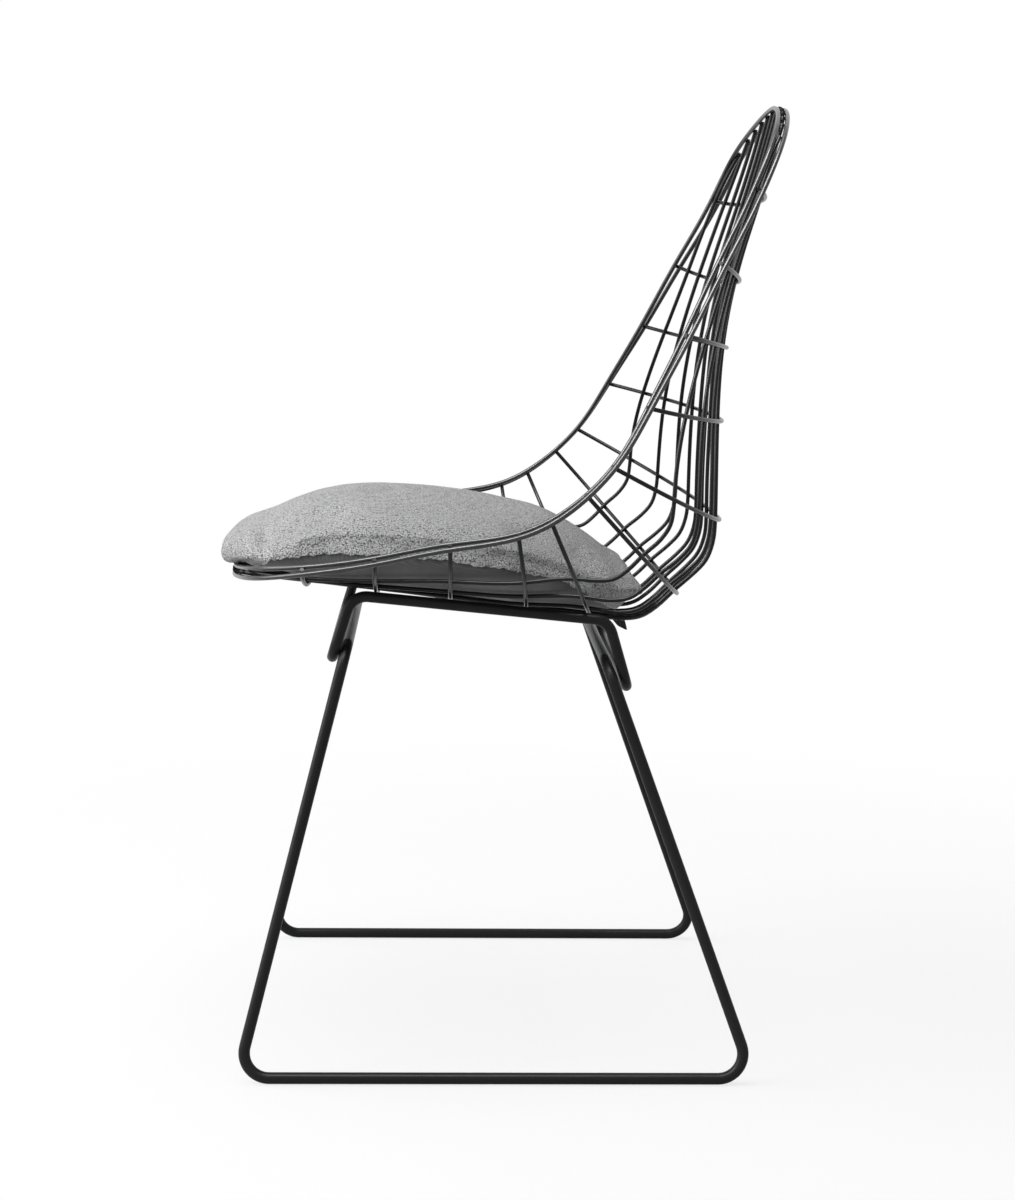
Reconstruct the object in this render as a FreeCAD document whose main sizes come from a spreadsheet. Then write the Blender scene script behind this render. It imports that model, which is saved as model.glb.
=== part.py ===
import FreeCAD, Part

import math
import os

from FreeCAD import Vector

# Wire mesh chair: a bucket shell of welded wires on a bent rod base, with a loose seat pad.
# Millimetres. X runs across the chair, Y from its front edge to its back, Z up from the floor.
# The origin is on the floor, under the middle of the whole chair.

DOCUMENT_NAME = "WireMeshChair"

# Driving dimensions.
SIZES = {
    "mesh_wire_diameter": 3.6,
    "rim_wire_diameter": 4.2,
    "leg_rod_diameter": 9.8,
    "seat_rod_diameter": 9.4,
    "weld_clearance": 0.12,
    "lengthwise_wires": 13,
    "lip_power": 30.0,
    "wire_end_beyond_rim": 2.2,
    "sitter_y": -60.0,
    "sitter_z": 640.0,
    "front_rim_y": -233.0,
    "front_rim_z": 411.0,
    "front_quarter_x": 112.0,
    "front_quarter_y": -221.0,
    "front_quarter_z": 418.0,
    "front_corner_x": 182.0,
    "front_corner_y": -194.0,
    "front_corner_z": 425.5,
    "front_spread": 150.0,
    "top_corner_x": 146.0,
    "top_corner_y": 226.5,
    "top_corner_z": 778.0,
    "top_quarter_x": 96.0,
    "top_quarter_y": 240.0,
    "top_quarter_z": 807.0,
    "top_rim_y": 248.0,
    "top_rim_z": 823.0,
    "top_spread": 134.0,
    "leg_foot_x": 226.0,
    "leg_top_x": 160.0,
    "front_foot_y": -216.0,
    "front_leg_top_y": -127.8,
    "front_leg_top_z": 360.0,
    "rear_foot_y": 218.0,
    "rear_leg_top_y": 93.0,
    "rear_leg_top_z": 348.0,
    "foot_bend_radius": 21.0,
    "leg_top_bend_radius": 26.0,
    "rail_x": 158.0,
    "rail_front_y": -123.5,
    "rail_rear_y": 94.0,
    "front_drop_below_leg_top": 10.5,
    "rear_drop_below_leg_top": 22.0,
    "seat_bend_radius": 17.0,
    "pad_gap": 2.0,
    "strap_seat_gap": 0.3,
    "strap_width": 10.0,
    "strap_thickness": 1.6,
    "strap_length": 31.0,
    "strap_root_y": 97.0,
    "strap_lean_degrees": 42.0,
}

# One row for each cross wire, counted from the top of the back to the front of the seat:
# half width, rim y, rim z, centre y, centre z, half spread of the lengthwise wires, the power of
# its curve, which is flatter in the middle as it grows, and the share of its rise that is in the
# steep lip at the rim.
CROSS_WIRES = [
    (158.0, 213.0, 747.0, 230.0, 741.0, 150.0, 3.2, 0.0),
    (185.0, 180.5, 685.0, 211.0, 670.0, 160.0, 2.82, 0.055),
    (210.0, 150.5, 626.5, 202.0, 613.0, 179.0, 2.76, 0.1),
    (236.0, 118.5, 568.5, 198.5, 550.0, 206.0, 3.0, 0.17),
    (254.0, 89.5, 521.5, 197.0, 464.0, 226.0, 3.36, 0.28),
    (259.0, 68.0, 499.0, 162.5, 395.5, 226.0, 2.75, 0.31),
    (258.0, 39.5, 477.5, 86.0, 371.2, 214.0, 2.6, 0.2),
    (251.0, 13.5, 465.5, 27.0, 378.0, 206.0, 2.75, 0.2),
    (240.0, -41.5, 455.0, -40.0, 387.5, 193.0, 3.07, 0.13),
    (225.0, -103.0, 441.0, -103.5, 395.8, 180.0, 2.88, 0.17),
    (206.0, -163.0, 430.5, -163.5, 404.0, 166.0, 2.9, 0.18),
]
CROSS_WIRE_COLUMNS = [
    "half_width", "rim_depth", "rim_height", "centre_depth", "centre_height", "spread", "power", "lip",
]

# Bends of the lengthwise wires at the bottom of the back: the place counted in cross wires, and
# how far the wires bow outwards as a share of the straight line between those two cross wires.
BACK_BENDS = [
    (5.45, 0.165),
    (6.45, 0.195),
]
BACK_BEND_COLUMNS = ["bend_place", "bend_bow"]

# Sections of the pad in front of the mesh: y, underside z, half width, hem height, crown height.
PAD_NOSE_SECTIONS = [
    (-246.0, 422.0, 24.0, 2.0, 6.5),
    (-242.5, 419.0, 60.0, 8.0, 17.0),
    (-234.5, 418.6, 98.0, 14.0, 30.0),
    (-222.0, 419.0, 132.0, 18.0, 40.0),
    (-205.0, 414.0, 160.0, 22.0, 53.0),
]
PAD_NOSE_COLUMNS = ["nose_y", "nose_underside", "nose_half_width", "nose_hem", "nose_crown"]

# Sections of the pad over the mesh: place counted in cross wires, half width, hem and crown height.
PAD_MESH_SECTIONS = [
    (11.0, 180.0, 36.0, 74.0),
    (10.0, 195.0, 46.0, 85.0),
    (9.0, 202.0, 52.0, 89.0),
    (8.0, 198.0, 54.0, 91.0),
    (7.5, 188.0, 53.0, 95.0),
    (7.0, 174.0, 48.0, 97.0),
    (6.5, 142.0, 31.0, 59.0),
    (6.32, 112.0, 20.0, 34.0),
]
PAD_MESH_COLUMNS = ["pad_place", "pad_half_width", "pad_hem", "pad_crown"]

# Cross wires that the rails and the strap go by.
FRONT_CROSS_WIRE = len(CROSS_WIRES)
FRONT_RAIL_WIRE = FRONT_CROSS_WIRE - 1
REAR_RAIL_WIRE = FRONT_CROSS_WIRE - 3
REAR_PAD_WIRE = FRONT_CROSS_WIRE - 4

# Straight runs that stand in for each smooth curve.
RIM_RUNS = 56
CROSS_RUNS = 32
LENGTHWISE_RUNS = 44
MIDDLE_RUN = 8.0

doc = FreeCAD.newDocument(DOCUMENT_NAME)
sheet = doc.addObject("Spreadsheet::Sheet", "Sizes")


def table_values(rows, columns):
    values = {}
    for number, row in enumerate(rows, start=1):
        for column, value in zip(columns, row):
            values[f"{column}_of_{number}"] = value
    return values


def fill_sheet():
    values = dict(SIZES)
    values.update(table_values(CROSS_WIRES, CROSS_WIRE_COLUMNS))
    values.update(table_values(BACK_BENDS, BACK_BEND_COLUMNS))
    values.update(table_values(PAD_NOSE_SECTIONS, PAD_NOSE_COLUMNS))
    values.update(table_values(PAD_MESH_SECTIONS, PAD_MESH_COLUMNS))
    for row, (name, value) in enumerate(values.items(), start=1):
        sheet.set(f"A{row}", name)
        sheet.set(f"B{row}", str(value))
        sheet.setAlias(f"B{row}", name)
    doc.recompute()


def size(name):
    return float(sheet.get(name))


def wire_size(column, place):
    """A size of a cross wire, or of a place between two of them."""
    above = int(place)
    below = min(above + 1, len(CROSS_WIRES))
    upper = size(f"{column}_of_{above}")
    lower = size(f"{column}_of_{below}")
    return upper + (lower - upper) * (place - above)


fill_sheet()

MESH_WIRE = size("mesh_wire_diameter")
RIM_WIRE = size("rim_wire_diameter")
LEG_ROD = size("leg_rod_diameter")
SEAT_ROD = size("seat_rod_diameter")
WELD_CLEARANCE = size("weld_clearance")
WIRE_NUMBERS = list(range(1, len(CROSS_WIRES) + 1))

# A point in front of the back and above the seat, where the sitter is.
SITTER = Vector(0, size("sitter_y"), size("sitter_z"))


# Paths and rods

def rounded_path(points, bend_radii=None):
    """Straight runs through the points, joined by tangent arcs."""
    edges = []
    start = points[0]
    radii = bend_radii or [None] * (len(points) - 2)
    for before, corner, after, bend_radius in zip(points, points[1:], points[2:], radii):
        back = (before - corner).normalize()
        ahead = (after - corner).normalize()
        half_turn = (math.pi - back.getAngle(ahead)) / 2
        if half_turn < 0.0005:
            continue
        if bend_radius is None:
            setback = 0.45 * min((before - corner).Length, (after - corner).Length)
        else:
            setback = bend_radius * math.tan(half_turn)
        radius = setback / math.tan(half_turn)
        to_centre = (back + ahead).normalize()
        arc_start = corner + back * setback
        arc_end = corner + ahead * setback
        arc_middle = corner + to_centre * (math.hypot(setback, radius) - radius)
        edges.append(Part.LineSegment(start, arc_start).toShape())
        edges.append(Part.Arc(arc_start, arc_middle, arc_end).toShape())
        start = arc_end
    edges.append(Part.LineSegment(start, points[-1]).toShape())
    return Part.Wire(edges)


def smooth_points(points, runs):
    """Evenly spaced points on a smooth curve through the given points."""
    curve = Part.BSplineCurve()
    curve.interpolate(Points=points)
    return curve.discretize(Number=runs + 1)


def lengthened(points, extra):
    """The same points with both ends moved outwards along their own runs."""
    first = points[0] + (points[0] - points[1]).normalize() * extra
    last = points[-1] + (points[-1] - points[-2]).normalize() * extra
    return [first] + points[1:-1] + [last]


def add_rod(label, points, diameter_name, bend_radii=None):
    """A round rod of one diameter, swept along its bent path."""
    path = doc.addObject("Part::Feature", f"{label}_path")
    path.Shape = rounded_path(points, bend_radii)
    section = doc.addObject("Part::Circle", f"{label}_section")
    section.setExpression("Radius", f"Sizes.{diameter_name} / 2")
    along = points[1] - points[0]
    section.Placement = FreeCAD.Placement(points[0], FreeCAD.Rotation(Vector(0, 0, 1), along))
    rod = doc.addObject("Part::Sweep", label)
    rod.Sections = [section]
    rod.Spine = (path, [f"Edge{number}" for number in range(1, len(path.Shape.Edges) + 1)])
    rod.Solid = True
    rod.Frenet = False
    rod.Label = label
    return rod


def add_mirrored_loop(label, half_points, diameter_name, bend_radii=None):
    """A closed ring: a right half, its mirror image, and both joined at the middle plane."""
    half = add_rod(f"{label}_half", half_points, diameter_name, bend_radii)
    other = doc.addObject("Part::Mirroring", f"{label}_other_half")
    other.Source = half
    other.Base = Vector(0, 0, 0)
    other.Normal = Vector(1, 0, 0)
    loop = doc.addObject("Part::Fuse", label)
    loop.Base = half
    loop.Tool = other
    loop.Refine = True
    loop.Label = label
    return loop


# The shell's surface

def shell_point(number, across):
    """Centre line of a cross wire at the distance across from the middle plane."""
    reach = min(abs(across) / wire_size("half_width", number), 1)
    lip = wire_size("lip", number)
    share = 1 - (1 - lip) * reach ** wire_size("power", number) - lip * reach ** size("lip_power")
    rim_y = wire_size("rim_depth", number)
    rim_z = wire_size("rim_height", number)
    centre_y = wire_size("centre_depth", number)
    centre_z = wire_size("centre_height", number)
    return Vector(across, rim_y + (centre_y - rim_y) * share, rim_z + (centre_z - rim_z) * share)


def across_direction(number, across):
    """Direction of the cross wire there, towards +X."""
    half_width = wire_size("half_width", number)
    power = wire_size("power", number)
    lip = wire_size("lip", number)
    lip_power = size("lip_power")
    reach = min(abs(across) / half_width, 1)
    steepness = (1 - lip) * power * reach ** (power - 1) + lip * lip_power * reach ** (lip_power - 1)
    slope = -math.copysign(steepness / half_width, across)
    fall = shell_point(number, 0) - shell_point(number, half_width)
    return Vector(1, fall.y * slope, fall.z * slope).normalize()


def towards_sitter(direction, place):
    unit = Vector(direction).normalize()
    if unit.dot(SITTER - place) < 0:
        return unit.negative()
    return unit


def inner_normal(number, fraction):
    """Normal of the shell on its inner side, at a share of the lengthwise wires' spread."""
    above = max(number - 1, 1)
    below = min(number + 1, FRONT_CROSS_WIRE)
    along = spread_point(above, fraction) - spread_point(below, fraction)
    here = spread_point(number, fraction)
    return towards_sitter(across_direction(number, here.x).cross(along), here)


def spread_point(number, fraction):
    return shell_point(number, fraction * wire_size("spread", number))


def corner_point(name):
    return Vector(size(f"{name}_x"), size(f"{name}_y"), size(f"{name}_z"))


def rim_guide():
    """Middle of the double rim on the right side: each point with the way into the mesh."""
    guide = []
    front_middle = Vector(0, size("front_rim_y"), size("front_rim_z"))
    for place in [front_middle, corner_point("front_quarter"), corner_point("front_corner")]:
        guide.append((place, shell_point(FRONT_CROSS_WIRE, place.x) - place))
    for number in reversed(WIRE_NUMBERS):
        half_width = wire_size("half_width", number)
        guide.append((shell_point(number, half_width), across_direction(number, half_width).negative()))
    top_middle = Vector(0, size("top_rim_y"), size("top_rim_z"))
    for place in [corner_point("top_corner"), corner_point("top_quarter"), top_middle]:
        guide.append((place, shell_point(1, place.x) - place))
    return guide


RIM_GUIDE = rim_guide()
RIM_MIDDLE = [place for place, into_mesh in RIM_GUIDE]


def mirrored(point):
    return Vector(-point.x, point.y, point.z)


def ring_curve(right_half):
    """Smooth curve through a right half, led on past both ends by the mirrored points."""
    lead_in = [mirrored(point) for point in reversed(right_half[1:4])]
    lead_out = [mirrored(point) for point in reversed(right_half[-4:-1])]
    curve = Part.BSplineCurve()
    curve.interpolate(Points=lead_in + right_half + lead_out)
    return curve


def rim_point_at(across, at_front):
    """Point on the rim's middle line at a distance across, on its front or top stretch."""
    curve = ring_curve(RIM_MIDDLE)
    outer = curve.parameter(RIM_MIDDLE[len(RIM_MIDDLE) // 2])
    inner = curve.parameter(RIM_MIDDLE[0] if at_front else RIM_MIDDLE[-1])
    for step in range(40):
        middle = (inner + outer) / 2
        if curve.value(middle).x < abs(across):
            inner = middle
        else:
            outer = middle
    found = curve.value(inner)
    return Vector(across, found.y, found.z)


def rim_half(side):
    """Right half of one rim wire: side is 1 for the inner wire and -1 for the outer one."""
    offset = side * ((RIM_WIRE + MESH_WIRE) / 2 + WELD_CLEARANCE)
    neighbours = [mirrored(RIM_MIDDLE[1])] + RIM_MIDDLE + [mirrored(RIM_MIDDLE[-2])]
    shifted = []
    for index, (place, into_mesh) in enumerate(RIM_GUIDE):
        along = neighbours[index + 2] - neighbours[index]
        shifted.append(place + towards_sitter(along.cross(into_mesh), place) * offset)
    shifted[0].x = 0
    shifted[-1].x = 0
    curve = ring_curve(shifted)
    ends = [curve.parameter(shifted[0]), curve.parameter(shifted[-1])]
    points = curve.discretize(Number=RIM_RUNS + 1, First=ends[0], Last=ends[1])
    straight = Vector(MIDDLE_RUN, 0, 0)
    return [shifted[0], shifted[0] + straight] + points[1:-1] + [shifted[-1] + straight, shifted[-1]]


# Wires of the shell

def add_rims():
    inner = add_mirrored_loop("rim_wire_inner", rim_half(1), "rim_wire_diameter")
    outer = add_mirrored_loop("rim_wire_outer", rim_half(-1), "rim_wire_diameter")
    return [inner, outer]


def add_cross_wire(number):
    half_width = wire_size("half_width", number)
    angles = [math.pi * (step / CROSS_RUNS - 0.5) for step in range(CROSS_RUNS + 1)]
    guide = [shell_point(number, half_width * math.sin(angle)) for angle in angles]
    points = lengthened(guide, size("wire_end_beyond_rim"))
    return add_rod(f"cross_wire_{number:02d}", points, "mesh_wire_diameter")


def lengthwise_places():
    """Each place that a lengthwise wire passes, from the front, with its outward bow there."""
    places = [(number, 0.0) for number in WIRE_NUMBERS]
    for index in range(1, len(BACK_BENDS) + 1):
        places.append((size(f"bend_place_of_{index}"), size(f"bend_bow_of_{index}")))
    return sorted(places, reverse=True)


def lengthwise_guide(fraction):
    """Points of a lengthwise wire, which lies on the inner side of the cross wires."""
    guide = [rim_point_at(fraction * size("front_spread"), True)]
    for place, bow in lengthwise_places():
        normal = inner_normal(place, fraction)
        upright = Vector(0, normal.y, normal.z).normalize()
        run = (spread_point(int(place), fraction) - spread_point(math.ceil(place), fraction)).Length
        inside = spread_point(place, fraction) + normal * (MESH_WIRE + WELD_CLEARANCE)
        guide.append(inside - upright * bow * run)
    guide.append(rim_point_at(fraction * size("top_spread"), False))
    return guide


def add_lengthwise_wires():
    count = int(size("lengthwise_wires"))
    wires = []
    for index in range(count):
        fraction = 2 * index / (count - 1) - 1
        points = smooth_points(lengthwise_guide(fraction), LENGTHWISE_RUNS)
        points = lengthened(points, size("wire_end_beyond_rim"))
        wires.append(add_rod(f"lengthwise_wire_{index + 1:02d}", points, "mesh_wire_diameter"))
    return wires


# Base

def leg_point(foot, top, height):
    share = (height - foot.z) / (top.z - foot.z)
    return foot + (top - foot) * share


FRONT_FOOT = Vector(size("leg_foot_x"), size("front_foot_y"), LEG_ROD / 2)
REAR_FOOT = Vector(size("leg_foot_x"), size("rear_foot_y"), LEG_ROD / 2)
FRONT_LEG_TOP = Vector(size("leg_top_x"), size("front_leg_top_y"), size("front_leg_top_z"))
REAR_LEG_TOP = Vector(size("leg_top_x"), size("rear_leg_top_y"), size("rear_leg_top_z"))


def in_middle(point):
    return Vector(0, point.y, point.z)


def add_leg_frame():
    """One closed rod: two crossbars, four legs and the two runners on the floor."""
    half = [in_middle(FRONT_LEG_TOP), FRONT_LEG_TOP, FRONT_FOOT, REAR_FOOT, REAR_LEG_TOP,
            in_middle(REAR_LEG_TOP)]
    top_bend = size("leg_top_bend_radius")
    foot_bend = size("foot_bend_radius")
    return add_mirrored_loop("leg_frame", half, "leg_rod_diameter", [top_bend, foot_bend, foot_bend, top_bend])


def rail_point(number):
    """Centre of a seat rail under a cross wire that rests on it."""
    mesh = shell_point(number, size("rail_x"))
    return mesh - Vector(0, 0, MESH_WIRE / 2 + SEAT_ROD / 2 + WELD_CLEARANCE)


def drop_foot(foot, top, side, fall):
    """Lower corner of a seat frame drop, which touches the leg on its outer side."""
    height = top.z - fall
    leg = leg_point(foot, top, height)
    lean = (top - foot).normalize()
    contact = (LEG_ROD + SEAT_ROD) / 2 + WELD_CLEARANCE
    return Vector(size("rail_x"), leg.y + side * contact / math.hypot(lean.z, lean.x), height)


def add_seat_frame():
    """One closed rod: two rails under the mesh, four drops and two low crossbars."""
    front_contact = rail_point(FRONT_RAIL_WIRE)
    rear_contact = rail_point(REAR_RAIL_WIRE)
    slope = (rear_contact - front_contact) * (1 / (rear_contact.y - front_contact.y))
    rail_front = front_contact + slope * (size("rail_front_y") - front_contact.y)
    rail_rear = front_contact + slope * (size("rail_rear_y") - front_contact.y)
    front_drop = drop_foot(FRONT_FOOT, FRONT_LEG_TOP, -1, size("front_drop_below_leg_top"))
    rear_drop = drop_foot(REAR_FOOT, REAR_LEG_TOP, 1, size("rear_drop_below_leg_top"))
    half = [in_middle(front_drop), front_drop, rail_front, rail_rear, rear_drop, in_middle(rear_drop)]
    return add_mirrored_loop("seat_frame", half, "seat_rod_diameter", [size("seat_bend_radius")] * 4)


# Seat pad

def pad_ring(label, base, rise, underside, half_width, hem, crown):
    """Closed outline of the pad in one plane. Heights are along the rise from the base point."""
    edge = [
        (1.0, hem),
        (0.985, hem + 0.3 * (crown - hem)),
        (0.86, hem + 0.66 * (crown - hem)),
        (0.5, hem + 0.92 * (crown - hem)),
    ]
    right = underside + [base + Vector(half_width * share, 0, 0) + rise * height for share, height in edge]
    left = [mirrored(point) for point in reversed(right[1:])]
    curve = Part.BSplineCurve()
    curve.interpolate(Points=right + [base + rise * crown] + left, PeriodicFlag=True)
    ring = doc.addObject("Part::Feature", label)
    ring.Shape = Part.Wire([curve.toShape()])
    return ring


UNDERSIDE_SHARES = [0.0, 0.3, 0.55, 0.75, 0.9]


def pad_standoff():
    """Height of the pad's underside over the centre line of a cross wire."""
    return MESH_WIRE * 1.5 + WELD_CLEARANCE + size("pad_gap")


def pad_ring_over_mesh(number):
    """Section of the pad in the plane of a cross wire, its underside just clear of the mesh."""
    place = size(f"pad_place_of_{number}")
    half_width = size(f"pad_half_width_of_{number}")
    base = shell_point(place, 0)
    rim = shell_point(place, wire_size("half_width", place))
    rise = Vector(0, rim.y - base.y, rim.z - base.z).normalize()
    underside = []
    for share in UNDERSIDE_SHARES:
        across = half_width * share
        along = across_direction(place, across)
        normal = (rise - along * rise.dot(along)).normalize()
        underside.append(shell_point(place, across) + normal * pad_standoff())
    return pad_ring(f"pad_ring_{number}", base, rise, underside, half_width,
                    size(f"pad_hem_of_{number}"), size(f"pad_crown_of_{number}"))


def pad_nose_ring(number):
    """Upright section of the pad where it hangs over the front of the rim."""
    half_width = size(f"nose_half_width_of_{number}")
    base = Vector(0, size(f"nose_y_of_{number}"), size(f"nose_underside_of_{number}"))
    hem = size(f"nose_hem_of_{number}")
    rise = Vector(0, 0, 1)
    underside = [base + Vector(half_width * share, 0, hem * share ** 2) for share in UNDERSIDE_SHARES]
    return pad_ring(f"pad_nose_ring_{number}", base, rise, underside, half_width,
                    hem, size(f"nose_crown_of_{number}"))


def add_pad():
    rings = [pad_nose_ring(number) for number in range(1, len(PAD_NOSE_SECTIONS) + 1)]
    rings += [pad_ring_over_mesh(number) for number in range(1, len(PAD_MESH_SECTIONS) + 1)]
    pad = doc.addObject("Part::Loft", "seat_pad")
    pad.Sections = rings
    pad.Solid = True
    pad.Ruled = False
    pad.Label = "seat_pad"
    return pad


def add_strap():
    """Flat strap end that hangs from the pad's underside through the mesh."""
    width = size("strap_width")
    length = size("strap_length")
    between_wires = wire_size("spread", REAR_PAD_WIRE) / (size("lengthwise_wires") - 1)
    underside_z = shell_point(REAR_PAD_WIRE, between_wires).z + pad_standoff()
    lean = math.radians(size("strap_lean_degrees"))
    root_z = underside_z - size("strap_thickness") * math.cos(lean) - size("strap_seat_gap")
    root = Vector(between_wires, size("strap_root_y"), root_z)
    outline = [(-width / 2, 0), (width / 2, 0), (width / 2, length - width), (0, length),
               (-width / 2, length - width)]
    corners = [Vector(across, along, 0) for across, along in outline]
    face = doc.addObject("Part::Feature", "pad_strap_outline")
    face.Shape = Part.Face(Part.makePolygon(corners + corners[:1]))
    strap = doc.addObject("Part::Extrusion", "pad_strap")
    strap.Base = face
    strap.DirMode = "Normal"
    strap.setExpression("LengthFwd", "Sizes.strap_thickness")
    strap.Solid = True
    strap.Label = "pad_strap"
    face.Placement = FreeCAD.Placement(root, FreeCAD.Rotation(Vector(1, 0, 0), -size("strap_lean_degrees")))
    return strap


# Build, check and write

def check(objects):
    doc.recompute()
    for item in doc.Objects:
        if "Invalid" in item.State or "Error" in item.State:
            raise RuntimeError(f"{item.Label} did not rebuild: {item.State}")
    for item in objects:
        if item.Shape.isNull() or not item.Shape.isValid() or len(item.Shape.Solids) != 1:
            raise RuntimeError(f"{item.Label} is not one valid solid")


subparts = add_rims()
subparts += [add_cross_wire(number) for number in WIRE_NUMBERS]
subparts += add_lengthwise_wires()
subparts += [add_leg_frame(), add_seat_frame(), add_pad(), add_strap()]
check(subparts)

os.makedirs("parts", exist_ok=True)
for subpart in subparts:
    subpart.Shape.exportStep(f"parts/{subpart.Label}.step")
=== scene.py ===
import math

import bmesh
import bpy
import numpy as np
from mathutils import Matrix, Vector


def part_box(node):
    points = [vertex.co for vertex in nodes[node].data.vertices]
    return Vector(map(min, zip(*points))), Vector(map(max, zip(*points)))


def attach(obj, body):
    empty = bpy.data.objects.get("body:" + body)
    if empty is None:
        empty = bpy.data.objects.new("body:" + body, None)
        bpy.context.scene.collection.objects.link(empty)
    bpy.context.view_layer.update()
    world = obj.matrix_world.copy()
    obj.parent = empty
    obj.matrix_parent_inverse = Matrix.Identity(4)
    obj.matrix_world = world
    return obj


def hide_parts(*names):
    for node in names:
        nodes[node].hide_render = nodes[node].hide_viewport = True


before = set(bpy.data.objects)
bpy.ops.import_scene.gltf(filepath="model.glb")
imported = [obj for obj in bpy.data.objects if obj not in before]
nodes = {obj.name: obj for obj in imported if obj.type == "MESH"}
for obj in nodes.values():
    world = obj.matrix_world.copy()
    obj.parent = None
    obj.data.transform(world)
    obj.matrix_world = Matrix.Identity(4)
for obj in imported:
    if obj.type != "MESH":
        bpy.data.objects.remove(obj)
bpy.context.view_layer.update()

# Wire mesh chair in metres. X runs across the chair, Y from its front to its back, Z up.

MM = 0.001
scene = bpy.context.scene
BASE_NODES = ("leg_frame", "seat_frame")
PAD_NODES = ("seat_pad", "pad_strap")
STEEL_NODES = sorted(name for name in nodes if name not in PAD_NODES)


# Meshes

def dress(mesh, material):
    mesh.materials.clear()
    mesh.materials.append(material)


def new_piece(name, mesh, material):
    piece = bpy.data.objects.new(name, mesh)
    scene.collection.objects.link(piece)
    dress(mesh, material)
    return piece


def smooth(mesh, sharp_from):
    """Smooth shading, with the edges that turn by sharp_from degrees or more left sharp."""
    mesh.shade_smooth()
    mesh.set_sharp_from_angle(angle=math.radians(sharp_from))


def apply_modifiers(piece):
    graph = bpy.context.evaluated_depsgraph_get()
    shaped = bpy.data.meshes.new_from_object(piece.evaluated_get(graph))
    piece.modifiers.clear()
    piece.data = shaped


def places_of(mesh):
    """The mesh's points as an array, one row for each."""
    places = np.empty(len(mesh.vertices) * 3)
    mesh.vertices.foreach_get("co", places)
    return places.reshape(-1, 3)


def move_to(mesh, places):
    mesh.vertices.foreach_set("co", places.ravel())
    mesh.update()


# Materials

# Where a Mix node takes and gives colours
MIX_FIRST, MIX_SECOND, MIX_RESULT = 6, 7, 2


class Shader:
    """A small helper that adds nodes to one material and links them."""

    def __init__(self, name):
        self.material = bpy.data.materials.new(name)
        self.material.use_nodes = True
        self.tree = self.material.node_tree
        self.surface = self.tree.nodes["Principled BSDF"]
        self.place = self.add("ShaderNodeTexCoord").outputs["Object"]

    def add(self, kind, inputs=None, **settings):
        node = self.tree.nodes.new(kind)
        for setting, value in settings.items():
            setattr(node, setting, value)
        for socket, value in (inputs or {}).items():
            self.feed(node.inputs[socket], value)
        return node

    def feed(self, socket, value):
        if isinstance(value, bpy.types.NodeSocket):
            self.tree.links.new(value, socket)
        else:
            socket.default_value = value

    def set(self, **values):
        """Sets sockets of the surface. An underscore in a name stands for a space."""
        for socket, value in values.items():
            self.feed(self.surface.inputs[socket.replace("_", " ")], value)

    def noise(self, scale, detail, roughness):
        texture = self.add("ShaderNodeTexNoise", {
            "Vector": self.place, "Scale": scale, "Detail": detail, "Roughness": roughness,
        })
        return texture.outputs["Fac"]

    def wave(self, scale, distortion, direction):
        texture = self.add("ShaderNodeTexWave", {
            "Vector": self.place, "Scale": scale, "Distortion": distortion,
        }, bands_direction=direction)
        return texture.outputs["Fac"]

    def ramp(self, factor, stops):
        """Colours between stops of (position, grey) or (position, colour)."""
        node = self.add("ShaderNodeValToRGB", {"Fac": factor})
        elements = node.color_ramp.elements
        while len(elements) < len(stops):
            elements.new(0.5)
        for element, (position, tone) in zip(elements, stops):
            element.position = position
            colour = tone if isinstance(tone, tuple) else (tone, tone, tone)
            element.color = (*colour, 1)
        return node.outputs["Color"]

    def range(self, value, low, high):
        """A value between 0 and 1, spread from low to high."""
        node = self.add("ShaderNodeMapRange", {"Value": value, "To Min": low, "To Max": high})
        return node.outputs["Result"]

    def mix(self, factor, first, second, blend="MIX"):
        node = self.add("ShaderNodeMix", data_type="RGBA", blend_type=blend)
        self.feed(node.inputs["Factor"], factor)
        self.feed(node.inputs[MIX_FIRST], first)
        self.feed(node.inputs[MIX_SECOND], second)
        return node.outputs[MIX_RESULT]

    def product(self, first, second):
        return self.add("ShaderNodeMath", {0: first, 1: second}, operation="MULTIPLY").outputs[0]

    def vector_math(self, operation, *values):
        return self.add("ShaderNodeVectorMath", dict(enumerate(values)), operation=operation)

    def bump(self, *layers):
        """Layers of (height, distance in metres), the first one lowest."""
        normal = None
        for height, distance in layers:
            node = self.add("ShaderNodeBump", {"Height": height, "Distance": distance, "Strength": 1.0})
            if normal is not None:
                self.feed(node.inputs["Normal"], normal)
            normal = node.outputs["Normal"]
        self.set(Normal=normal)


def black_finish(name, shade, gloss, roughness, relief):
    """Black paint on steel: fine grain over a soft orange peel, with faint duller patches."""
    blue_tint = 1.05
    dull_share = 0.4
    roughness_spread = 0.1
    shader = Shader(name)
    grain = shader.noise(scale=2400, detail=2.0, roughness=0.55)
    peel = shader.noise(scale=520, detail=1.0, roughness=0.5)
    patches = shader.noise(scale=16, detail=3.0, roughness=0.55)
    greys = (0.7 * shade, 1.3 * shade, 1.7 * shade)
    dark, light, dull = [(grey, grey, blue_tint * grey) for grey in greys]
    fresh = shader.ramp(grain, [(0.3, dark), (0.72, light)])
    shader.set(
        Base_Color=shader.mix(shader.range(patches, 0.0, dull_share), fresh, (*dull, 1)),
        Roughness=shader.range(patches, roughness, roughness + roughness_spread),
        Specular_IOR_Level=gloss,
    )
    shader.bump((peel, relief), (grain, relief / 2))
    return shader.material


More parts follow.
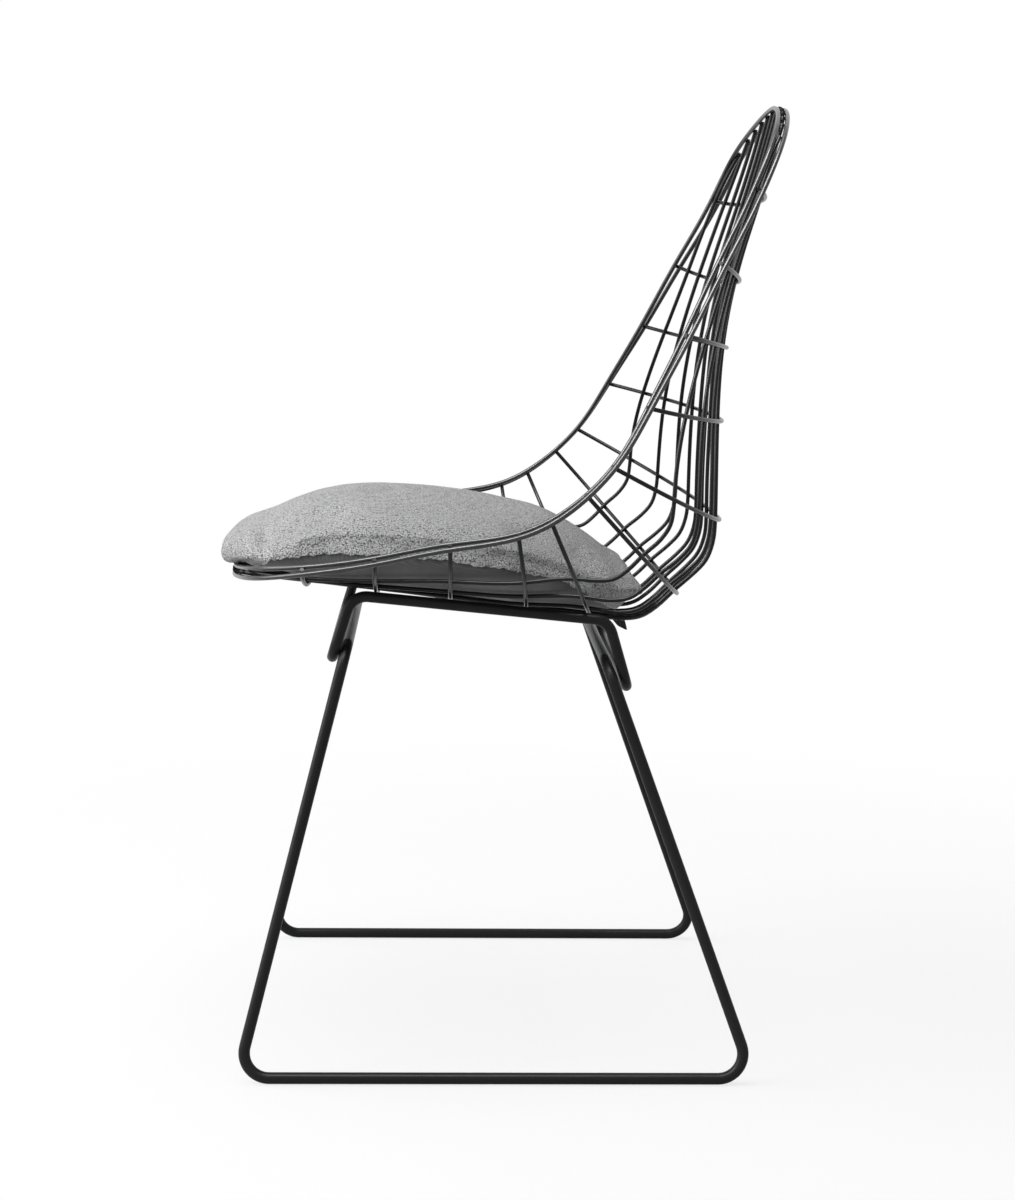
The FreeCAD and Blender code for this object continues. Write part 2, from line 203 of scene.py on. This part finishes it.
def melange_wool():
    """Heavy wool weave: plump pale knots about 1.4 mm apart, painted shade between them, each knot its own
    grey.
    """
    knots_per_metre = 740.0
    wander = 1.6 * MM
    fray = 0.35
    # Dark colour for the gaps between knots: painted shade where the knots shade each other.
    gap_shade_colour = (0.12, 0.12, 0.125, 1)
    shader = Shader("melange_wool")
    drift = shader.add("ShaderNodeTexNoise", {"Vector": shader.place, "Scale": 260.0, "Detail": 1.0})
    offset = shader.vector_math("MULTIPLY", drift.outputs["Color"], (wander, wander, wander))
    warped = shader.vector_math("ADD", shader.place, offset.outputs["Vector"])
    knots = shader.add("ShaderNodeTexVoronoi", {
        "Vector": warped.outputs["Vector"], "Scale": knots_per_metre, "Randomness": 0.75,
    })
    rounded = shader.ramp(knots.outputs["Distance"], [(0.3, 1.0), (0.56, 0.7), (0.76, 0.0)])
    own_grey = shader.add("ShaderNodeSeparateColor", {"Color": knots.outputs["Color"]}).outputs["Red"]
    fuzz = shader.noise(scale=2600, detail=2.0, roughness=0.65)
    cloud = shader.noise(scale=30, detail=2.0, roughness=0.5)
    yarn = shader.ramp(own_grey, [(0.0, 0.60), (0.35, 0.78), (0.75, 0.88), (1.0, 0.94)])
    frayed = shader.mix(fray, yarn, shader.ramp(fuzz, [(0.3, 0.58), (0.7, 0.92)]))
    # The knots' colour, with painted shade mixed into the gaps between them.
    shade = shader.mix(rounded, gap_shade_colour, frayed)
    tint = shader.ramp(cloud, [(0.3, (0.93, 0.93, 0.94)), (0.7, (1.0, 1.0, 0.995))])
    shader.set(
        Base_Color=shader.mix(1.0, shade, tint, "MULTIPLY"),
        Roughness=0.9,
        Specular_IOR_Level=0.2,
        Sheen_Weight=0.25,
        Sheen_Roughness=0.5,
    )
    shader.bump((cloud, 0.4 * MM), (rounded, 3.0 * MM), (fuzz, 0.3 * MM))
    return shader.material


def lining_cloth():
    """Plain dark lining: a tight plain weave, smooth from a distance."""
    shader = Shader("lining_cloth")
    threads = [shader.wave(scale=340.0, distortion=0.4, direction=direction) for direction in ("X", "Y")]
    weave = shader.product(*threads)
    cloud = shader.noise(scale=35, detail=3.0, roughness=0.55)
    shade = shader.ramp(weave, [(0.0, 0.10), (0.7, 0.155)])
    tone = shader.ramp(cloud, [(0.3, 0.86), (0.7, 1.0)])
    shader.set(
        Base_Color=shader.mix(1.0, shade, tone, "MULTIPLY"),
        Roughness=0.85,
        Specular_IOR_Level=0.3,
        Sheen_Weight=0.15,
    )
    shader.bump((cloud, 0.6 * MM), (weave, 0.12 * MM))
    return shader.material


def strap_webbing():
    """Near-black webbing with fine slanting ribs."""
    shader = Shader("strap_webbing")
    ribs = shader.wave(scale=260.0, distortion=0.6, direction="DIAGONAL")
    fuzz = shader.noise(scale=1500, detail=2.0, roughness=0.6)
    shade = shader.ramp(shader.product(ribs, fuzz), [(0.0, 0.014), (0.5, 0.04)])
    shader.set(Base_Color=shade, Roughness=0.85, Specular_IOR_Level=0.25)
    shader.bump((ribs, 0.2 * MM), (fuzz, 0.1 * MM))
    return shader.material


def studio_floor():
    """Pale matt floor near the chair, clear farther off. The camera sees it fainter than light does."""
    fade_start, fade_end = 0.45, 1.4
    cover = 0.8
    cover_seen = 0.28
    shader = Shader("studio_floor")
    cloud = shader.noise(scale=1.4, detail=2.0, roughness=0.5)
    reach = shader.vector_math("LENGTH", shader.place).outputs["Value"]
    fade = shader.add("ShaderNodeMapRange", {
        "Value": reach, "From Min": fade_start, "From Max": fade_end, "To Min": cover, "To Max": 0.0,
    }, interpolation_type="SMOOTHSTEP").outputs["Result"]
    camera_ray = shader.add("ShaderNodeLightPath").outputs["Is Camera Ray"]
    shader.set(
        Base_Color=shader.ramp(cloud, [(0.3, 0.80), (0.7, 0.82)]),
        Roughness=0.7,
        Specular_IOR_Level=0.2,
        Alpha=shader.product(fade, shader.range(camera_ray, 1.0, cover_seen)),
    )
    return shader.material


RIM_LACQUER = black_finish("rim_lacquer", shade=0.009, gloss=0.5, roughness=0.2, relief=0.03 * MM)
WIRE_LACQUER = black_finish("wire_lacquer", shade=0.008, gloss=0.16, roughness=0.2, relief=0.03 * MM)
POWDER_COAT = black_finish("powder_coat", shade=0.016, gloss=0.08, roughness=0.3, relief=0.06 * MM)
WOOL = melange_wool()
LINING = lining_cloth()
WEBBING = strap_webbing()


# Steel

def finish_of(name):
    if name in BASE_NODES:
        return POWDER_COAT
    return RIM_LACQUER if name.startswith("rim_wire") else WIRE_LACQUER


for name in STEEL_NODES:
    steel = nodes[name].data
    dress(steel, finish_of(name))
    smooth(steel, sharp_from=70)


# Seat pad

VOXEL = 5 * MM
FELT = 2.0 * MM

# How far each point goes towards the middle of its neighbours, inward and then outward again.
INWARD_PULL, OUTWARD_PULL = 0.5, -0.52

# The wool's lower edge seen from the side: depth and height of its points, in metres.
HEM = [
    (-0.250, 0.4000), (-0.234, 0.4040), (-0.220, 0.4140), (-0.208, 0.4240), (-0.190, 0.4345),
    (-0.165, 0.4395), (-0.125, 0.4425), (-0.083, 0.4420), (-0.041, 0.4385), (0.000, 0.4325),
    (0.030, 0.4270), (0.055, 0.4185), (0.075, 0.4080), (0.090, 0.3950), (0.105, 0.3850), (0.135, 0.3760),
]
HEM_DEPTHS, HEM_HEIGHTS = np.array(HEM).T

# Waves of the hem: height in metres, radians per metre along the pad, shift of each side, radians
# per metre across the pad.
HEM_WAVES = [(0.0006, 131, 1.3, 0), (0.0005, 410, 0.7, 60), (0.0004, 905, 2.1, 240)]

# The changes of the body fade in over a band this high over the hem. The cut along the hem takes
# points that are nearer than its tolerance as lying on it.
HEM_BAND = 6 * MM
CUT_TOLERANCE = 0.2 * MM

# Change of the crown's height along the pad: depth and rise, in millimetres.
CROWN_RISE = [
    (-250, 0.0), (-240, -4.0), (-229, -9.0), (-216, -10.5), (-205, -9.5), (-187, -6.5), (-165, -3.5),
    (-140, -1.5), (-110, -0.5), (60, -0.5), (95, 0.5), (114, -3.0), (128, -5.0), (142, -3.0),
]
RISE_DEPTHS, RISES = np.array(CROWN_RISE).T * MM

# The pad's height and half width are read at these depths, from the points near each.
STATIONS = np.arange(-0.26, 0.16, 0.005)
STATION_REACH = 6 * MM
LEAST_HEIGHT = 0.42
LEAST_HALF_WIDTH = 0.02

# The side swells most a little over half way from hem to crown, and is tucked in at the hem. Both
# begin at a share of the half width, and fade out towards the nose.
SHOULDER = 9 * MM
SHOULDER_LEVEL = 0.58
SHOULDER_SPREAD = 0.2
TUCK = 4.5 * MM
TUCK_SPREAD = 13 * MM
SIDE_START, SIDE_FADE = 0.55, 0.3
SIDE_FRONT, SIDE_FRONT_FADE = -0.215, 0.05

# The nose hangs lower in front of its depth and under its height. The rear edge reaches farther back.
NOSE_DROP = 3.5 * MM
NOSE_DEPTH, NOSE_DEPTH_FADE = -0.222, 0.014
NOSE_HEIGHT, NOSE_HEIGHT_FADE = 0.432, 0.01
REAR_STRETCH = 4.5 * MM
REAR_START, REAR_FADE, REAR_EASE = 0.085, 0.04, 1.5

# Room for felt and swell over the hem, less at the nose and at the rear edge.
ROOM, ROOM_IN_QUICK = 4.5 * MM, 1.5 * MM
LEAST_ROOM_SHARE = 0.2
NOSE_END, REAR_END, END_FADE = -0.232, 0.138, 0.03

# Cloth under pressure. No point travels farther than the cap.
PRESSURE = 4
CLOTH_FRAMES = 20
SWELL_CAP = 4 * MM


def hem_height(x, y):
    """Height of the wool's lower edge round the pad, with its slight wave."""
    side = math.copysign(1, x)
    wave = sum(
        height * math.sin(y * along + shift * side + x * across)
        for height, along, shift, across in HEM_WAVES
    )
    return float(np.interp(y, HEM_DEPTHS, HEM_HEIGHTS)) + wave


def share_over_hem(place):
    """0 at the hem and under it, 1 from the top of the band over it."""
    return min(max((place.z - hem_height(place.x, place.y)) / HEM_BAND, 0), 1)


def pad_body():
    """The filled pad: the CAD pad remeshed evenly, then blown up a little by its filling."""
    body = new_piece("pad_body", nodes["seat_pad"].data.copy(), LINING)
    remesh = body.modifiers.new("remesh", "REMESH")
    remesh.mode = "VOXEL"
    remesh.voxel_size = VOXEL
    apply_modifiers(body)
    even_out(body.data, rounds=12)
    shape_by_hand(body.data)
    slim(body.data)
    inflate(body)
    return body


def even_out(mesh, rounds):
    """Evens out the steps of the remesh. Each inward pass is followed by an outward one."""
    places = places_of(mesh)
    ends = np.empty(len(mesh.edges) * 2, dtype=np.int64)
    mesh.edges.foreach_get("vertices", ends)
    first, second = ends.reshape(-1, 2).T
    neighbours = np.bincount(ends, minlength=len(places))[:, None]
    for pull in (INWARD_PULL, OUTWARD_PULL) * rounds:
        total = np.zeros_like(places)
        np.add.at(total, first, places[second])
        np.add.at(total, second, places[first])
        places += pull * (total / neighbours - places)
    move_to(mesh, places)


def fade_in(value, start, length):
    """0 up to start, 1 from start + length on, and straight between them."""
    return np.clip((value - start) / length, 0, 1)


def hump(value, spread):
    """1 at zero, falling away on both sides."""
    return np.exp(-(value / spread) ** 2)


def shape_by_hand(mesh):
    """Lower slopes to the nose and the rear edge, and firmer shoulders over a tucked hem."""
    places = places_of(mesh)
    x, y, z = places.T
    near_stations = [np.abs(y - depth) < STATION_REACH for depth in STATIONS]
    crown = np.array([z[near].max(initial=LEAST_HEIGHT) for near in near_stations])
    wide = np.array([np.abs(x[near]).max(initial=LEAST_HALF_WIDTH) for near in near_stations])
    hem = np.array([hem_height(*place[:2]) for place in places])
    share = np.clip((z - hem) / (np.interp(y, STATIONS, crown) - hem), 0, 1)
    reach = np.clip(np.abs(x) / np.interp(y, STATIONS, wide), 0, 1)
    rise = np.interp(y, RISE_DEPTHS, RISES)
    outer = fade_in(reach, SIDE_START, SIDE_FADE) * fade_in(y, SIDE_FRONT, SIDE_FRONT_FADE)
    side = SHOULDER * hump(share - SHOULDER_LEVEL, SHOULDER_SPREAD) - TUCK * hump(z - hem, TUCK_SPREAD)
    places[:, 2] += rise * share * (2 - share)
    places[:, 0] += np.sign(x) * side * outer
    nose = fade_in(-y, -NOSE_DEPTH, NOSE_DEPTH_FADE) * fade_in(-z, -NOSE_HEIGHT, NOSE_HEIGHT_FADE)
    places[:, 2] -= NOSE_DROP * nose
    places[:, 1] += REAR_STRETCH * fade_in(y, REAR_START, REAR_FADE) ** REAR_EASE
    move_to(mesh, places)


def slim(mesh):
    """Room for the felt and the swell: points over the hem move in."""
    room = ROOM
    normals = [vertex.normal.copy() for vertex in mesh.vertices]
    for vertex, normal in zip(mesh.vertices, normals):
        depth = vertex.co.y
        from_ends = min((depth - NOSE_END) / END_FADE, (REAR_END - depth) / END_FADE, 1)
        inward = room * max(from_ends, LEAST_ROOM_SHARE)
        vertex.co -= normal * inward * share_over_hem(vertex.co)


def inflate(body):
    """Cloth under pressure, held along its underside, with each point's travel capped."""
    rest = [vertex.co.copy() for vertex in body.data.vertices]
    held = body.vertex_groups.new(name="held")
    for vertex in body.data.vertices:
        held.add([vertex.index], 1 - share_over_hem(vertex.co), "REPLACE")
    cloth = body.modifiers.new("cloth", "CLOTH")
    settings = cloth.settings
    settings.vertex_group_mass = "held"
    settings.use_pressure = True
    settings.uniform_pressure_force = PRESSURE
    settings.effector_weights.gravity = 0
    settings.quality = 5
    cloth.point_cache.frame_end = CLOTH_FRAMES
    for number in range(1, CLOTH_FRAMES + 1):
        scene.frame_set(number)
    apply_modifiers(body)
    scene.frame_set(1)
    for vertex, start in zip(body.data.vertices, rest):
        travel = vertex.co - start
        if travel.length > SWELL_CAP:
            vertex.co = start + travel.normalized() * SWELL_CAP


def subdivide(piece):
    piece.modifiers.new("subdivide", "SUBSURF").levels = 1
    apply_modifiers(piece)


def split_at_hem(mesh):
    """Cuts the mesh along the wavy hem. Returns for each face whether it lies over the hem."""
    grid = bmesh.new()
    grid.from_mesh(mesh)
    for vertex in grid.verts:
        vertex.co.z -= hem_height(vertex.co.x, vertex.co.y)
    geometry = grid.verts[:] + grid.edges[:] + grid.faces[:]
    bmesh.ops.bisect_plane(grid, geom=geometry, plane_co=(0, 0, 0), plane_no=(0, 0, 1), dist=CUT_TOLERANCE)
    over = [face.calc_center_median().z > 0 for face in grid.faces]
    for vertex in grid.verts:
        vertex.co.z += hem_height(vertex.co.x, vertex.co.y)
    grid.to_mesh(mesh)
    grid.free()
    return over


def wool_cover(body, over_hem):
    """The wool over the top and sides, as thick as felt, with its folded edge at the hem."""
    sheet = body.data.copy()
    grid = bmesh.new()
    grid.from_mesh(sheet)
    lining_faces = [face for face, over in zip(grid.faces, over_hem) if not over]
    bmesh.ops.delete(grid, geom=lining_faces, context="FACES")
    grid.to_mesh(sheet)
    grid.free()
    cover = new_piece("pad_cover", sheet, WOOL)
    felt = cover.modifiers.new("felt", "SOLIDIFY")
    felt.thickness = FELT
    felt.offset = 1
    felt.use_even_offset = False
    apply_modifiers(cover)
    dress(cover.data, WOOL)
    smooth(cover.data, sharp_from=55)
    return cover


body = pad_body()
subdivide(body)
over_hem = split_at_hem(body.data)
cover = wool_cover(body, over_hem)
dress(body.data, LINING)
smooth(body.data, sharp_from=60)
for piece in (body, cover):
    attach(piece, "pad")
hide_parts("seat_pad")


# Strap

STRAP_ROWS = 14
STRAP_COLUMNS = (-1, -0.4, 0.4, 1)
STRAP_THICKNESS = 1.4 * MM
STRAP_ROUNDING = 0.4 * MM
STRAP_CURL = 1.6 * MM
ROOT_TURN, TIP_TURN = 20, 65
POINT_SLOPE, POINT_WIDTH = 1.15, 0.06


def strap():
    """Flat strap end that runs to a point, slightly curled and turned more at its tip."""
    low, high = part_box("pad_strap")
    width = high.x - low.x
    middle = (low.x + high.x) / 2
    root = Vector((middle, low.y, high.z))
    tip = Vector((middle, high.y, low.z))
    length = (tip - root).length
    along = (tip - root).normalized()
    across = Vector((1, 0, 0))
    up = across.cross(along)
    outline = []
    grid = bmesh.new()
    for row in range(STRAP_ROWS + 1):
        share = row / STRAP_ROWS
        half = width / 2 * min(1, (1 - share) * length / width * POINT_SLOPE + POINT_WIDTH)
        curl = STRAP_CURL * math.sin(share * math.pi)
        centre = root + along * (length * share) + up * curl
        turn = math.radians(ROOT_TURN + (TIP_TURN - ROOT_TURN) * share)
        flat = across * math.cos(turn) + up * math.sin(turn)
        outline.append([grid.verts.new(centre + flat * half * column) for column in STRAP_COLUMNS])
    for before, after in zip(outline, outline[1:]):
        for column in range(len(STRAP_COLUMNS) - 1):
            grid.faces.new((before[column], before[column + 1], after[column + 1], after[column]))
    mesh = bpy.data.meshes.new("pad_strap_cloth")
    grid.to_mesh(mesh)
    grid.free()
    piece = new_piece("pad_strap_cloth", mesh, WEBBING)
    thick = piece.modifiers.new("thick", "SOLIDIFY")
    thick.thickness = STRAP_THICKNESS
    thick.offset = 0
    edge = piece.modifiers.new("edge", "BEVEL")
    edge.width = STRAP_ROUNDING
    edge.segments = 2
    apply_modifiers(piece)
    dress(piece.data, WEBBING)
    smooth(piece.data, sharp_from=50)
    return piece


strap_piece = strap()
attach(strap_piece, "pad")
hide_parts("pad_strap")


# Stage

FLOOR_RADIUS = 1.6
SEAT = (0, 0, 0.4)
WHITE = (1, 1, 1, 1)
WORLD_LIGHT = 0.26
WORLD_SEEN = 1.0

# The camera's place in millimetres, its three turns in degrees and its lens in millimetres.
CAMERA_PLACE = (2171.0, -55.8, 669.7)
YAW, PITCH, ROLL = 1.817, 7.587, 0.682
LENS, SENSOR_WIDTH = 72.0, 36.0


def add_floor():
    """A round patch of pale floor that fades out into the white round it."""
    grid = bmesh.new()
    bmesh.ops.create_circle(grid, cap_ends=True, segments=96, radius=FLOOR_RADIUS)
    mesh = bpy.data.meshes.new("floor")
    grid.to_mesh(mesh)
    grid.free()
    floor = new_piece("floor", mesh, studio_floor())


def add_lamp(name, place, size, watts, target=SEAT, only_gloss=False):
    """A soft rectangular lamp. With only_gloss it shows in reflections and lights nothing else."""
    data = bpy.data.lights.new(name, "AREA")
    data.shape = "RECTANGLE"
    data.size, data.size_y = size
    data.energy = watts
    lamp = bpy.data.objects.new(name, data)
    scene.collection.objects.link(lamp)
    lamp.location = place
    lamp.visible_diffuse = not only_gloss
    lamp.rotation_euler = (Vector(target) - Vector(place)).to_track_quat("-Z", "Y").to_euler()


def add_world():
    """Soft light all round. The camera and reflections see plain white instead."""
    world = bpy.data.worlds.new("studio")
    scene.world = world
    world.use_nodes = True
    tree = world.node_tree
    light = tree.nodes["Background"]
    light.inputs["Color"].default_value = WHITE
    light.inputs["Strength"].default_value = WORLD_LIGHT
    seen = tree.nodes.new("ShaderNodeBackground")
    seen.inputs["Color"].default_value = WHITE
    seen.inputs["Strength"].default_value = WORLD_SEEN
    path = tree.nodes.new("ShaderNodeLightPath")
    either = tree.nodes.new("ShaderNodeMath")
    either.operation = "MAXIMUM"
    tree.links.new(path.outputs["Is Camera Ray"], either.inputs[0])
    tree.links.new(path.outputs["Is Glossy Ray"], either.inputs[1])
    mixed = tree.nodes.new("ShaderNodeMixShader")
    tree.links.new(either.outputs[0], mixed.inputs[0])
    tree.links.new(light.outputs[0], mixed.inputs[1])
    tree.links.new(seen.outputs[0], mixed.inputs[2])
    tree.links.new(mixed.outputs[0], tree.nodes["World Output"].inputs["Surface"])


def turned(first, second, degrees):
    """The first direction turned towards the second, and the second turned along with it."""
    angle = math.radians(degrees)
    return (
        math.cos(angle) * first + math.sin(angle) * second,
        math.cos(angle) * second - math.sin(angle) * first,
    )


def add_camera():
    """Camera at the photograph's place. It looks along -X before its three turns."""
    ahead, right, up = Vector((-1, 0, 0)), Vector((0, 1, 0)), Vector((0, 0, 1))
    ahead, right = turned(ahead, right, YAW)
    ahead, up = turned(ahead, up, -PITCH)
    right, up = turned(right, up, ROLL)
    data = bpy.data.cameras.new("camera")
    data.lens = LENS
    data.sensor_width = SENSOR_WIDTH
    camera = bpy.data.objects.new("camera", data)
    scene.collection.objects.link(camera)
    axes = Matrix((right, up, -ahead)).transposed().to_4x4()
    camera.matrix_world = Matrix.Translation(Vector(CAMERA_PLACE) * MM) @ axes
    scene.camera = camera


add_floor()
add_lamp("key", place=(0.2, -2.8, 1.8), size=(2.6, 2.6), watts=124)
add_lamp("top", place=(0.0, -0.2, 2.8), size=(1.8, 1.8), watts=34)
add_lamp("strip", place=(0.9, -1.1, 2.4), size=(3.0, 0.8), watts=180, target=(0, -1.1, 0.4), only_gloss=True)
add_lamp("fill", place=(2.4, 0.6, 1.2), size=(1.2, 1.2), watts=2)
add_world()
add_camera()
scene.view_settings.view_transform = "Standard"

bpy.context.view_layer.update()
